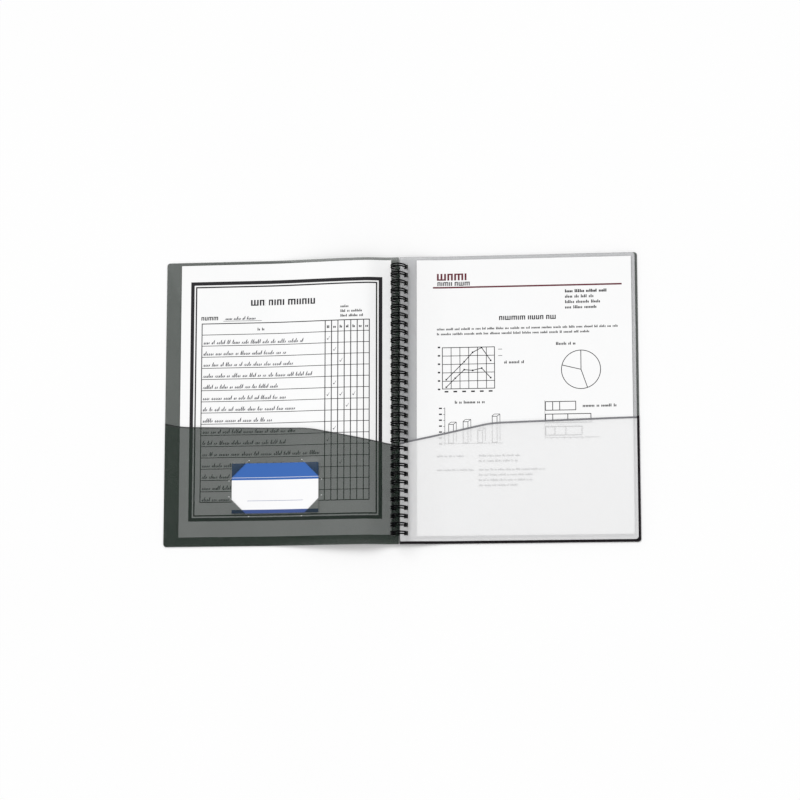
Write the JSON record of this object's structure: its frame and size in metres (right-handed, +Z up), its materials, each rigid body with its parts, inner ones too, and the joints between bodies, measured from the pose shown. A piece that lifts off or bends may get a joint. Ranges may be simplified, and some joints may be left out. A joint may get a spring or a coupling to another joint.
{
  "type": "spiral-bound pocket folder",
  "caption": "Open twin-loop bound folder: smoke plastic covers with pockets, a frosted pocket divider, a slotted name card and loose letter sheets.",
  "frame": {"origin": "on the surface that the open folder lies on, under the middle of the spine", "axes": "+X from the spine across the back cover, +Y towards the top of the pages, +Z up"},
  "size_m": [0.48, 0.2922, 0.017],
  "materials": {
    "smoke_cover": "translucent smoke polypropylene, fine haircell grain",
    "smoke_film": "translucent smoke polypropylene film, satin",
    "frosted_sheet": "frosted clear polypropylene, fine haircell grain",
    "frosted_film": "frosted clear polypropylene film",
    "letter_paper": "uncoated printed letter paper",
    "card_stock": "smooth printed card with blue bands",
    "coated_wire": "black nylon-coated steel wire, semi-gloss"
  },
  "bodies": {
    "back_leaf": {"back_cover": "smoke_cover", "back_pocket": "smoke_film", "twin_loop_wire": "coated_wire"},
    "front_leaf": {"front_cover": "smoke_cover", "front_pocket": "smoke_film", "name_card": "card_stock"},
    "divider_leaf": {"divider_page": "frosted_sheet", "divider_front_pocket": "frosted_film", "divider_back_pocket": "frosted_film"},
    "left_paper": {"left_sheet": "letter_paper"},
    "right_paper": {"right_sheet": "letter_paper"}
  },
  "joints": [
    {"name": "front_cover_turn", "type": "hinge", "parent": "back_leaf", "child": "front_leaf", "pos_m": [0, 0, 0.0085], "axis": [0, 1, 0], "range_deg": [0, 182.4]},
    {"name": "divider_turn", "type": "hinge", "parent": "back_leaf", "child": "divider_leaf", "pos_m": [0, 0, 0.0085], "axis": [0, -1, 0], "range_deg": [0, 182.4]},
    {"name": "left_sheet_slide", "type": "slide", "parent": "front_leaf", "child": "left_paper", "axis": [0, 1, 0], "range_m": [0, 0.116]},
    {"name": "right_sheet_slide", "type": "slide", "parent": "divider_leaf", "child": "right_paper", "axis": [0, 1, 0], "range_m": [0, 0.12]}
  ]
}
